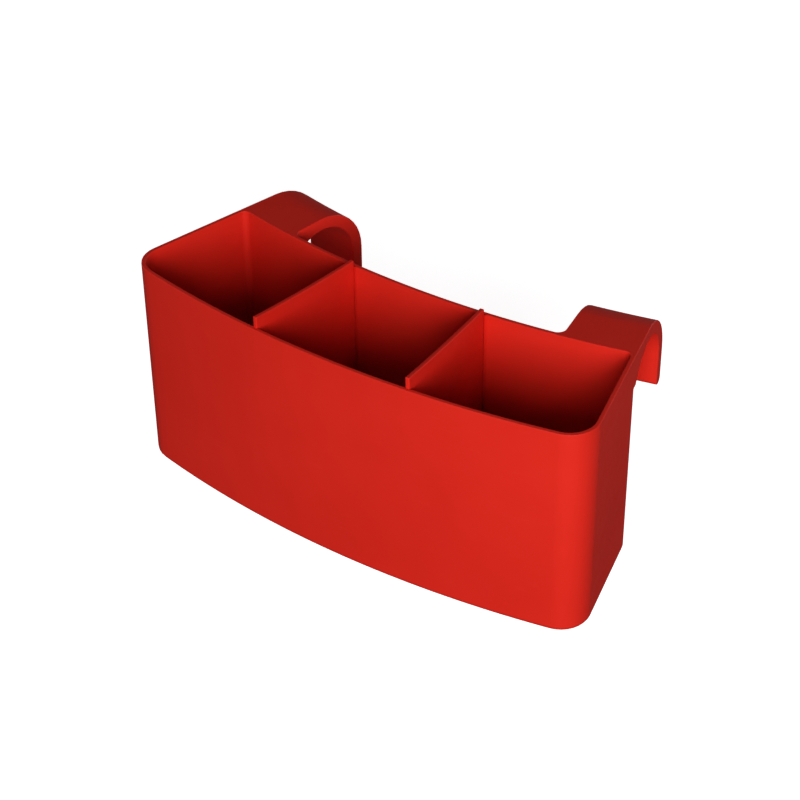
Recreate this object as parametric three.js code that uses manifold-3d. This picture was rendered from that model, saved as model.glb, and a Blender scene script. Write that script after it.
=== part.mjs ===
// Cleaning caddy: a curved open tub with two hooks moulded into its back, and two lift-out divider panels.
// Millimetres. +X runs along the tub, +Y points to the hooks, +Z is up, and the origin is the middle of the base.
import * as THREE from "three";
import { mergeVertices } from "three/addons/utils/BufferGeometryUtils.js";
import Module from "manifold-3d";

const wasm = await Module();
wasm.setup();

// Tub: front and back walls are arcs about one upright axis behind the tub, and the end walls lie on its radii.
const BACK_RADIUS = 636.4;
const DEPTH = 96.4;
const FRONT_RADIUS = BACK_RADIUS + DEPTH;
const AXIS_Y = BACK_RADIUS + DEPTH / 2;
const END_ANGLE = THREE.MathUtils.degToRad(13.66);
const RIM_HEIGHT = 151.5;
const WALL = 2.9;
const FLOOR = 3;
const FRONT_CORNER_RADIUS = 20;
const BACK_CORNER_RADIUS = 7;
const FOOT_RADIUS = 4;
const INNER_FOOT_RADIUS = 3;

// Hooks: a thick smooth strap that runs back from the rim, over a saddle that opens downwards, to a straight leg.
const HOOK_INNER_ANGLE = THREE.MathUtils.degToRad(9.3);
const SADDLE_FROM_AXIS = 611.5;
const SADDLE_RADIUS = 28.5;
const HOOK_OUTER_RADIUS = 37;
const HOOK_REACH_DOWN = 63;
const HOOK_TIP_RADIUS = 4;
const HOOK_ROOT_FILLET = 6;
const HOOK_ROOT_FILLET_HEIGHT = 14;
const HOOK_ROOT_OVERLAP = 1.5;
// How far the hook's section runs in from the back face: past the rounded corner, which it fills.
const HOOK_INTO_WALL = BACK_CORNER_RADIUS + 1;
// How far the saddle's round underside runs into the back wall.
const SADDLE_INTO_WALL = 0.5;
// The walls and hooks are made this much proud at the ends and rim, then trimmed flush together.
const PROUD = 0.05;

// Dividers: flat panels on radii, standing in grooves that are open at the rim.
const DIVIDER_ANGLE = THREE.MathUtils.degToRad(4.46);
const DIVIDER_THICKNESS = 3;
const DIVIDER_BACK_RISE = 3.3;
const DIVIDER_FRONT_RISE = 7.9;
const DIVIDER_TOP_SAG = 1;
const DIVIDER_FOOT_CHAMFER = 2;
const GROOVE_DEPTH = 1.2;
const GAP = 0.3;

// Facets of the round shapes, and how far a cutting shape runs past the face it opens.
const FRONT_SEGMENTS = 20;
const BACK_SEGMENTS = 16;
const CORNER_SEGMENTS = 8;
const BEVEL_SEGMENTS = 4;
const SADDLE_SEGMENTS = 20;
const HOOK_SEGMENTS = 4;
const PAST = 10;

const PLASTIC_RED = 0xb81c12;
const PANEL_RED = 0xae1a11;
const ROUGHNESS = 0.48;

// The point at a radius from the upright axis, at an angle from the mid-plane, positive to +X.
function polar(radius, angle) {
  return new THREE.Vector2(radius * Math.sin(angle), AXIS_Y - radius * Math.cos(angle));
}

// The point at a distance along a radius, then a distance off it towards the mid-plane.
function offRadius(along, off, angle) {
  return polar(along, angle).add(new THREE.Vector2(-Math.cos(angle), -Math.sin(angle)).multiplyScalar(off));
}

function arcPoints(centre, radius, from, to, segments) {
  const points = [];
  for (let i = 0; i <= segments; i++) {
    const a = from + ((to - from) * i) / segments;
    points.push(new THREE.Vector2(centre.x + radius * Math.cos(a), centre.y + radius * Math.sin(a)));
  }
  return points;
}

// The tub's plan, shrunk all round by an inset: one half from the front to the back, then its mirror image.
// The end walls stand out by endProud.
function plan(inset, endProud) {
  const frontRadius = FRONT_RADIUS - inset;
  const frontCorner = FRONT_CORNER_RADIUS - inset;
  const frontOff = FRONT_CORNER_RADIUS - endProud;
  const frontAlong = Math.sqrt((frontRadius - frontCorner) ** 2 - frontOff ** 2);
  const frontCentre = offRadius(frontAlong, frontOff, END_ANGLE);
  const frontAngle = Math.atan2(frontCentre.x, AXIS_Y - frontCentre.y);
  const backRadius = BACK_RADIUS + inset;
  const backCorner = BACK_CORNER_RADIUS - inset;
  const backOff = BACK_CORNER_RADIUS - endProud;
  const backAlong = Math.sqrt((backRadius + backCorner) ** 2 - backOff ** 2);
  const backCentre = offRadius(backAlong, backOff, END_ANGLE);
  const backAngle = Math.atan2(backCentre.x, AXIS_Y - backCentre.y);
  const half = [];
  for (let i = 0; i < FRONT_SEGMENTS; i++) half.push(polar(frontRadius, (frontAngle * i) / FRONT_SEGMENTS));
  half.push(...arcPoints(frontCentre, frontCorner, frontAngle - Math.PI / 2, END_ANGLE, CORNER_SEGMENTS));
  half.push(...arcPoints(backCentre, backCorner, END_ANGLE, Math.PI / 2 + backAngle, CORNER_SEGMENTS));
  for (let i = BACK_SEGMENTS - 1; i >= 0; i--) half.push(polar(backRadius, (backAngle * i) / BACK_SEGMENTS));
  const mirrored = half.slice(1, -1).reverse().map((p) => new THREE.Vector2(-p.x, p.y));
  return new THREE.Shape([...half, ...mirrored]);
}

// A vessel shape: the plan at an inset, with its lower edge rounded, from a base height to past the rim.
function vessel(inset, edgeRadius, baseHeight, endProud) {
  const geometry = new THREE.ExtrudeGeometry(plan(inset, endProud), {
    depth: RIM_HEIGHT + PAST,
    bevelThickness: edgeRadius,
    bevelSize: edgeRadius,
    bevelOffset: -edgeRadius,
    bevelSegments: BEVEL_SEGMENTS,
  });
  return geometry.translate(0, 0, baseHeight + edgeRadius);
}

// A horizontal arc about the upright axis, for sweeping a section along.
class AxisArc extends THREE.Curve {
  constructor(radius, from, to) {
    super();
    this.radius = radius;
    this.from = from;
    this.to = to;
  }
  angleAt(u) {
    return this.from + (this.to - this.from) * u;
  }
  getPointAt(u, target = new THREE.Vector3()) {
    const p = polar(this.radius, this.angleAt(u));
    return target.set(p.x, p.y, 0);
  }
  getTangentAt(u, target = new THREE.Vector3()) {
    return target.set(Math.cos(this.angleAt(u)), Math.sin(this.angleAt(u)), 0);
  }
}

const hookTop = RIM_HEIGHT + PROUD;
const saddleCentre = new THREE.Vector2(SADDLE_FROM_AXIS, hookTop - HOOK_OUTER_RADIUS);

// The hook's section, as points of distance from the axis and height: flat on top from the wall, round over the
// saddle, then a straight leg with a rounded tip.
function hookSection() {
  const legOuter = SADDLE_FROM_AXIS - HOOK_OUTER_RADIUS;
  const legInner = SADDLE_FROM_AXIS - SADDLE_RADIUS;
  const tipCentre = RIM_HEIGHT - HOOK_REACH_DOWN + HOOK_TIP_RADIUS;
  const outerTip = new THREE.Vector2(legOuter + HOOK_TIP_RADIUS, tipCentre);
  const innerTip = new THREE.Vector2(legInner - HOOK_TIP_RADIUS, tipCentre);
  const wallAngle = Math.acos((BACK_RADIUS + SADDLE_INTO_WALL - SADDLE_FROM_AXIS) / SADDLE_RADIUS);
  const wallHeight = saddleCentre.y + SADDLE_RADIUS * Math.sin(wallAngle);
  return [
    new THREE.Vector2(BACK_RADIUS + HOOK_INTO_WALL, hookTop),
    ...arcPoints(saddleCentre, HOOK_OUTER_RADIUS, Math.PI / 2, Math.PI, SADDLE_SEGMENTS / 2),
    ...arcPoints(outerTip, HOOK_TIP_RADIUS, Math.PI, 1.5 * Math.PI, BEVEL_SEGMENTS),
    ...arcPoints(innerTip, HOOK_TIP_RADIUS, 1.5 * Math.PI, 2 * Math.PI, BEVEL_SEGMENTS),
    ...arcPoints(saddleCentre, SADDLE_RADIUS, Math.PI, wallAngle, SADDLE_SEGMENTS),
    new THREE.Vector2(BACK_RADIUS + HOOK_INTO_WALL, wallHeight),
  ];
}

// The web in the corner between the back wall and the hook's inner side, hollowed to a fillet.
function rootFillet() {
  const off = HOOK_ROOT_FILLET - PROUD;
  const along = Math.sqrt((BACK_RADIUS - off) ** 2 - off ** 2);
  const centre = offRadius(along, off, HOOK_INNER_ANGLE);
  const angle = Math.atan2(centre.x, AXIS_Y - centre.y);
  const shape = new THREE.Shape([
    ...arcPoints(centre, HOOK_ROOT_FILLET, angle - Math.PI / 2, HOOK_INNER_ANGLE, CORNER_SEGMENTS),
    offRadius(along, -HOOK_ROOT_OVERLAP, HOOK_INNER_ANGLE),
    offRadius(BACK_RADIUS + HOOK_ROOT_OVERLAP, -HOOK_ROOT_OVERLAP, HOOK_INNER_ANGLE),
    polar(BACK_RADIUS + HOOK_ROOT_OVERLAP, angle),
  ]);
  const geometry = new THREE.ExtrudeGeometry(shape, { depth: HOOK_ROOT_FILLET_HEIGHT, bevelEnabled: false });
  return geometry.translate(0, 0, hookTop - HOOK_ROOT_FILLET_HEIGHT);
}

function solid(geometry) {
  const bare = geometry.index ? geometry.toNonIndexed() : geometry.clone();
  bare.deleteAttribute("normal");
  bare.deleteAttribute("uv");
  const merged = mergeVertices(bare, 1e-4);
  const made = new wasm.Mesh({
    numProp: 3,
    vertProperties: merged.attributes.position.array,
    triVerts: new Uint32Array(merged.index.array),
  });
  return new wasm.Manifold(made);
}

function mirrored(geometry) {
  const copy = geometry.clone().scale(-1, 1, 1);
  const index = Array.from({ length: copy.attributes.position.count }, (_, i) => i);
  for (let i = 0; i < index.length; i += 3) [index[i + 1], index[i + 2]] = [index[i + 2], index[i + 1]];
  return copy.setIndex(index);
}

// A hook on the right: its section swept about the upright axis, and the web at its root.
function hookGeometries() {
  const shape = new THREE.Shape(hookSection().map((p) => new THREE.Vector2(-p.y, SADDLE_FROM_AXIS - p.x)));
  const extrudePath = new AxisArc(SADDLE_FROM_AXIS, HOOK_INNER_ANGLE, END_ANGLE + PROUD / SADDLE_FROM_AXIS);
  return [new THREE.ExtrudeGeometry(shape, { steps: HOOK_SEGMENTS, extrudePath }), rootFillet()];
}

// The grooves' end faces, as distances from the axis.
const grooveBack = BACK_RADIUS + WALL - GROOVE_DEPTH;
const grooveFront = FRONT_RADIUS - WALL + GROOVE_DEPTH;

// Turns a shape drawn in radius and height into an upright plate on a radius, centred on that radius.
function plateOnRadius(shape, thickness, angle) {
  const geometry = new THREE.ExtrudeGeometry(shape, { depth: thickness, bevelEnabled: false });
  geometry.translate(0, 0, -thickness / 2);
  geometry.rotateX(Math.PI / 2);
  geometry.rotateZ(angle - Math.PI / 2);
  return geometry.translate(0, AXIS_Y, 0);
}

// The slot that one divider stands in. It cuts only the inner part of the front and back walls.
function grooveCut(angle) {
  const shape = new THREE.Shape([
    new THREE.Vector2(grooveBack, FLOOR),
    new THREE.Vector2(grooveFront, FLOOR),
    new THREE.Vector2(grooveFront, RIM_HEIGHT + PAST),
    new THREE.Vector2(grooveBack, RIM_HEIGHT + PAST),
  ]);
  return plateOnRadius(shape, DIVIDER_THICKNESS + 2 * GAP, angle);
}

// A flat panel whose foot corners are chamfered, and whose top rises to the front with a slight sag.
function dividerPanel(angle) {
  const back = grooveBack + GAP;
  const front = grooveFront - GAP;
  const foot = FLOOR + GAP;
  const backTop = RIM_HEIGHT + DIVIDER_BACK_RISE;
  const frontTop = RIM_HEIGHT + DIVIDER_FRONT_RISE;
  const shape = new THREE.Shape();
  shape.moveTo(back + DIVIDER_FOOT_CHAMFER, foot);
  shape.lineTo(front - DIVIDER_FOOT_CHAMFER, foot);
  shape.lineTo(front, foot + DIVIDER_FOOT_CHAMFER);
  shape.lineTo(front, frontTop);
  shape.quadraticCurveTo((back + front) / 2, (backTop + frontTop) / 2 - 2 * DIVIDER_TOP_SAG, back, backTop);
  shape.lineTo(back, foot + DIVIDER_FOOT_CHAMFER);
  return plateOnRadius(shape, DIVIDER_THICKNESS, angle);
}

// What lies above the rim, and what lies past each end wall.
function trims() {
  const size = FRONT_RADIUS;
  const top = new THREE.BoxGeometry(size, size, size).translate(0, 0, RIM_HEIGHT + size / 2);
  const ends = [-1, 1].map((side) => {
    const box = new THREE.BoxGeometry(size, size, size).translate(size, (side * size) / 2, 0);
    return box.rotateZ(side * END_ANGLE - Math.PI / 2).translate(0, AXIS_Y, 0);
  });
  return [top, ...ends];
}

// The tub: the outer vessel and the hooks, trimmed flush, then hollowed and grooved.
function tubSolid() {
  let made = solid(vessel(0, FOOT_RADIUS, 0, PROUD));
  for (const geometry of hookGeometries()) made = made.add(solid(geometry)).add(solid(mirrored(geometry)));
  for (const trim of trims()) made = made.subtract(solid(trim));
  made = made.subtract(solid(vessel(WALL, INNER_FOOT_RADIUS, FLOOR, 0)));
  for (const side of [-1, 1]) made = made.subtract(solid(grooveCut(side * DIVIDER_ANGLE)));
  return made;
}

function geometryOf(made) {
  const mesh = made.getMesh();
  const geometry = new THREE.BufferGeometry();
  geometry.setAttribute("position", new THREE.BufferAttribute(mesh.vertProperties, mesh.numProp));
  return geometry.setIndex(new THREE.BufferAttribute(mesh.triVerts, 1));
}

function namedMesh(name, geometry, color) {
  const material = new THREE.MeshStandardMaterial({ color, roughness: ROUGHNESS, metalness: 0 });
  const mesh = new THREE.Mesh(geometry, material);
  mesh.name = name;
  return mesh;
}

const group = new THREE.Group();
group.add(namedMesh("tub", geometryOf(tubSolid()), PLASTIC_RED));
group.add(namedMesh("divider_left", dividerPanel(-DIVIDER_ANGLE), PANEL_RED));
group.add(namedMesh("divider_right", dividerPanel(DIVIDER_ANGLE), PANEL_RED));

export default group;
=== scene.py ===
"""Looks of the cleaning caddy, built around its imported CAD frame. Lengths are metres."""
import math

import bmesh
import bpy
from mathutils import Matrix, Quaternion, Vector


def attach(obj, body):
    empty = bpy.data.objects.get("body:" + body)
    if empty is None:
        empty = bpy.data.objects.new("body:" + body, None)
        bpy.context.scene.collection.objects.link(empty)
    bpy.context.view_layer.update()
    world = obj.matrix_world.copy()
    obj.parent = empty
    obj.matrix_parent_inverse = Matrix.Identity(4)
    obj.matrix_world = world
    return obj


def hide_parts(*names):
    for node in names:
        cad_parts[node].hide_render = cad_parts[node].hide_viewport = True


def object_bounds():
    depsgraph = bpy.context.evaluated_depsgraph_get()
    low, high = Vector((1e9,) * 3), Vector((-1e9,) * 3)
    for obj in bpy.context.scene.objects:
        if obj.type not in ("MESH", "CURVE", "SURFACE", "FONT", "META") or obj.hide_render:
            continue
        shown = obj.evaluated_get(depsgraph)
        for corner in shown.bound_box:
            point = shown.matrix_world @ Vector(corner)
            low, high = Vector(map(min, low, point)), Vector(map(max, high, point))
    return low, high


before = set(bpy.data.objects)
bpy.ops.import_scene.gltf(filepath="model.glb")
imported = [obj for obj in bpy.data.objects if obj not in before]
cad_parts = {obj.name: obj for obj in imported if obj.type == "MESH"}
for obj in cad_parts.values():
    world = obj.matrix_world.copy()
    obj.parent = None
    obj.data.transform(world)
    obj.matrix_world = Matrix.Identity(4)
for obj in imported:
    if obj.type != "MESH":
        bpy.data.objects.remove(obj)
cad_low, cad_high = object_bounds()

MM = 0.001

# Moulded edges. The tub and the panels take their shape from their CAD nodes, whose edges are sharp.
TUB_EDGE_RADIUS = 0.6 * MM
PANEL_EDGE_RADIUS = 0.7 * MM
EDGE_SEGMENTS = 3
ROUND_PROFILE = 0.5
SHARP_EDGE = math.radians(28)
SMOOTH_BELOW = math.radians(35)
LARGE_FACES_LEAD = 80

# Points this close are one point, faces this flat are one plane, and edges this close make a thin wedge.
SAME_POINT = 0.03 * MM
ONE_PLANE = math.radians(0.3)
WEDGE = math.radians(25)

# The grooves that the dividers stand in lie on radii of the tub's upright axis. Their edges stay crisp.
AXIS_Y = 684.6 * MM
DIVIDER_ANGLE = math.radians(4.46)
GROOVE_HALF_WIDTH = 1.8 * MM
GROOVE_REACH = 0.15 * MM

# Plastic colours, sRGB 0 to 255: pigment, its deeper drift, and rubbed marks
TUB_RED = (220, 50, 37)
TUB_DEEPER = (213, 46, 33)
PANEL_RED = (220, 47, 34)
PANEL_DEEPER = (211, 42, 30)
SCUFFED = (226, 66, 52)
PLASTIC_IOR = 1.49
PLASTIC_SPECULAR = 0.22
MARKS_STRETCH = (1, 1, 7)

# Floor
FLOOR_PALE = (243, 243, 243)
FLOOR_PALER = (248, 248, 248)
FLOOR_ROUGHNESS = 0.9
FLOOR_GLOW = 0.65
FLOOR_HALF = 20
FLOOR_BELOW = 0.3 * MM

# Camera: where it stands, what it looks at, its roll in radians, and its lens and sensor in millimetres
CAMERA_AT = Vector((0.6424, -0.8808, 0.8897))
LOOKS_AT = Vector((-0.0602, 0.1144, -0.0006))
CAMERA_ROLL = -0.0106
LENS = 96.22
SENSOR = 36

# Light
LIGHT_DISTANCE = 2.2
WHITE = (1, 1, 1, 1)
WORLD_STRENGTH = 0.1


def link_to_scene(obj):
    bpy.context.scene.collection.objects.link(obj)
    return obj


# Shapes


def in_groove(vertex):
    """Whether a point of the tub lies on the wall of a groove."""
    x, y = abs(vertex.co.x), AXIS_Y - vertex.co.y
    off = x * math.cos(DIVIDER_ANGLE) - y * math.sin(DIVIDER_ANGLE)
    return abs(off) < GROOVE_HALF_WIDTH + GROOVE_REACH


def in_wedge(edge, sharp):
    """Whether an edge meets another sharp edge at a thin wedge, which has no room for a rounding."""
    for corner in edge.verts:
        along = edge.other_vert(corner).co - corner.co
        neighbours = [e for e in corner.link_edges if e is not edge and e in sharp]
        if any(along.angle(e.other_vert(corner).co - corner.co) < WEDGE for e in neighbours):
            return True
    return False


def moulded(name, node, radius):
    """A CAD node's solid with its flats merged and its sharp edges rounded, as a moulding's are."""
    bm = bmesh.new()
    bm.from_mesh(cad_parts[node].data)
    for layer in list(bm.loops.layers.uv):
        bm.loops.layers.uv.remove(layer)
    bmesh.ops.remove_doubles(bm, verts=bm.verts, dist=SAME_POINT)
    bmesh.ops.dissolve_degenerate(bm, dist=SAME_POINT, edges=bm.edges)
    bmesh.ops.dissolve_limit(bm, angle_limit=ONE_PLANE, verts=bm.verts, edges=bm.edges)
    sharp = {e for e in bm.edges if e.calc_face_angle() > SHARP_EDGE}
    rounded = [e for e in bm.edges if e in sharp and not in_wedge(e, sharp)]
    if node == "tub":
        rounded = [e for e in rounded if not all(in_groove(v) for v in e.verts)]
    bmesh.ops.bevel(
        bm,
        geom=rounded,
        offset=radius,
        offset_type="OFFSET",
        segments=EDGE_SEGMENTS,
        profile=ROUND_PROFILE,
        affect="EDGES",
        clamp_overlap=False,
    )
    bmesh.ops.recalc_face_normals(bm, faces=bm.faces)
    mesh = bpy.data.meshes.new(name)
    bm.to_mesh(mesh)
    bm.free()
    return link_to_scene(bpy.data.objects.new(name, mesh))


def smooth(obj):
    """Smooth shading on curved and rounded parts, with flats kept flat."""
    obj.data.shade_smooth()
    obj.data.set_sharp_from_angle(angle=SMOOTH_BELOW)
    modifier = obj.modifiers.new("even_normals", "WEIGHTED_NORMAL")
    modifier.keep_sharp = True
    modifier.weight = LARGE_FACES_LEAD


# Materials


def linear(colour):
    """An sRGB colour, 0 to 255, as the linear colour that a shader takes."""

    def one(c):
        c /= 255
        return c / 12.92 if c <= 0.04045 else ((c + 0.055) / 1.055) ** 2.4

    return (*(one(c) for c in colour), 1)


class Nodes:
    """Short calls for building one material's node tree."""

    def __init__(self, name):
        self.material = bpy.data.materials.new(name)
        self.material.use_nodes = True
        self.tree = self.material.node_tree
        self.shader = self.tree.nodes["Principled BSDF"]

    def add(self, kind, **inputs):
        """A new node, with some of its input sockets set by name."""
        node = self.tree.nodes.new(kind)
        for name, value in inputs.items():
            node.inputs[name].default_value = value
        return node

    def link(self, source, target):
        self.tree.links.new(source, target)

    def place(self):
        return self.add("ShaderNodeTexCoord").outputs["Object"]

    def stretched(self, place, scale):
        node = self.add("ShaderNodeMapping", Scale=scale)
        self.link(place, node.inputs["Vector"])
        return node.outputs["Vector"]

    def noise(self, place, scale, detail, roughness=0.5):
        node = self.add("ShaderNodeTexNoise", Scale=scale, Detail=detail, Roughness=roughness)
        self.link(place, node.inputs["Vector"])
        return node.outputs["Fac"]

    def ranged(self, value, source, target):
        """A value mapped from one range to another, and held inside it."""
        node = self.add("ShaderNodeMapRange")
        self.link(value, node.inputs["Value"])
        node.inputs["From Min"].default_value, node.inputs["From Max"].default_value = source
        node.inputs["To Min"].default_value, node.inputs["To Max"].default_value = target
        return node.outputs["Result"]

    def mixed(self, factor, first, second):
        """A blend of two colours, each a plain colour or another node's output."""
        node = self.tree.nodes.new("ShaderNodeMix")
        node.data_type = "RGBA"
        sockets = {s.identifier: s for s in node.inputs}
        self.link(factor, sockets["Factor_Float"])
        for socket, colour in ((sockets["A_Color"], first), (sockets["B_Color"], second)):
            if isinstance(colour, tuple):
                socket.default_value = colour
            else:
                self.link(colour, socket)
        return next(s for s in node.outputs if s.identifier == "Result_Color")

    def bumped(self, height, strength, distance, before=None):
        node = self.add("ShaderNodeBump", Strength=strength, Distance=distance)
        self.link(height, node.inputs["Height"])
        if before is not None:
            self.link(before, node.inputs["Normal"])
        return node.outputs["Normal"]


def moulded_plastic(name, colour, deeper, scuffed):
    """Satin polypropylene: drifting pigment, fine mould grain, faint flow marks and rubbed scuffs."""
    n = Nodes(name)
    place = n.place()
    along_z = n.stretched(place, MARKS_STRETCH)
    drift = n.ranged(n.noise(place, scale=11, detail=3), source=(0.3, 0.7), target=(0, 1))
    pigment = n.mixed(drift, linear(colour), linear(deeper))
    streaks = n.noise(along_z, scale=38, detail=6, roughness=0.65)
    marks = n.ranged(streaks, source=(0.62, 0.78), target=(0, 0.35))
    n.link(n.mixed(marks, pigment, linear(scuffed)), n.shader.inputs["Base Color"])
    satin = n.ranged(n.noise(place, scale=55, detail=4), source=(0.3, 0.7), target=(0.5, 0.62))
    n.link(satin, n.shader.inputs["Roughness"])
    waviness = n.bumped(n.noise(place, scale=26, detail=2), strength=0.25, distance=0.8 * MM)
    pores = n.noise(place, scale=1500, detail=2, roughness=0.6)
    n.link(n.bumped(pores, strength=0.22, distance=0.12 * MM, before=waviness), n.shader.inputs["Normal"])
    n.shader.inputs["IOR"].default_value = PLASTIC_IOR
    n.shader.inputs["Specular IOR Level"].default_value = PLASTIC_SPECULAR
    return n.material


def pale_floor():
    n = Nodes("pale_floor")
    tone = n.ranged(n.noise(n.place(), scale=3, detail=3), source=(0.3, 0.7), target=(0, 1))
    n.link(n.mixed(tone, linear(FLOOR_PALE), linear(FLOOR_PALER)), n.shader.inputs["Base Color"])
    n.shader.inputs["Roughness"].default_value = FLOOR_ROUGHNESS
    n.shader.inputs["Emission Color"].default_value = WHITE
    n.shader.inputs["Emission Strength"].default_value = FLOOR_GLOW
    return n.material


# The caddy


def dress(obj, body, node, material):
    """Finishes a piece, and puts it in its CAD node's place."""
    smooth(obj)
    obj.data.materials.clear()
    obj.data.materials.append(material)
    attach(obj, body)
    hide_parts(node)


tub_plastic = moulded_plastic("tub_plastic", TUB_RED, TUB_DEEPER, SCUFFED)
dress(moulded("tub_moulding", "tub", TUB_EDGE_RADIUS), "caddy", "tub", tub_plastic)

panel_plastic = moulded_plastic("divider_plastic", PANEL_RED, PANEL_DEEPER, SCUFFED)
for side in ("left", "right"):
    panel = moulded("divider_panel_" + side, "divider_" + side, PANEL_EDGE_RADIUS)
    dress(panel, side + "_divider", "divider_" + side, panel_plastic)


# The studio: floor, camera and light


def studio_floor():
    """A plain floor just below the caddy. It throws no light or reflection back onto it."""
    mesh = bpy.data.meshes.new("floor")
    corners = [(x * FLOOR_HALF, y * FLOOR_HALF, 0) for x, y in ((-1, -1), (1, -1), (1, 1), (-1, 1))]
    mesh.from_pydata(corners, [], [(0, 1, 2, 3)])
    mesh.materials.append(pale_floor())
    floor = link_to_scene(bpy.data.objects.new("floor", mesh))
    floor.location.z = cad_low.z - FLOOR_BELOW
    floor.visible_diffuse = False
    floor.visible_glossy = False


def studio_camera():
    camera = link_to_scene(bpy.data.objects.new("camera", bpy.data.cameras.new("camera")))
    camera.data.lens = LENS
    camera.data.sensor_width = SENSOR
    camera.location = CAMERA_AT
    camera.rotation_mode = "QUATERNION"
    aim = (LOOKS_AT - CAMERA_AT).to_track_quat("-Z", "Y")
    camera.rotation_quaternion = aim @ Quaternion((0, 0, 1), CAMERA_ROLL)
    bpy.context.scene.camera = camera


def area_light(name, azimuth, elevation, size, power):
    """A soft square light that faces the caddy. Azimuth 0 is in front, and 90 on the +X side, in degrees."""
    a, e = math.radians(azimuth), math.radians(elevation)
    away = Vector((math.sin(a) * math.cos(e), -math.cos(a) * math.cos(e), math.sin(e)))
    light = link_to_scene(bpy.data.objects.new(name, bpy.data.lights.new(name, "AREA")))
    light.data.shape = "SQUARE"
    light.data.size = size
    light.data.energy = power
    light.location = (cad_low + cad_high) / 2 + away * LIGHT_DISTANCE
    light.rotation_mode = "QUATERNION"
    light.rotation_quaternion = away.to_track_quat("Z", "Y")


def studio_world():
    """A faint even glow from all round, and the picture's tone."""
    world = bpy.data.worlds.new("studio")
    world.use_nodes = True
    background = world.node_tree.nodes["Background"]
    background.inputs["Color"].default_value = WHITE
    background.inputs["Strength"].default_value = WORLD_STRENGTH
    bpy.context.scene.world = world
    bpy.context.scene.view_settings.view_transform = "Standard"
    bpy.context.scene.view_settings.look = "Medium High Contrast"


studio_floor()
studio_camera()
area_light("key", azimuth=36, elevation=19, size=1.1, power=41)
area_light("back", azimuth=172, elevation=3, size=1.2, power=15)
area_light("left", azimuth=262, elevation=4, size=1.2, power=9)
studio_world()
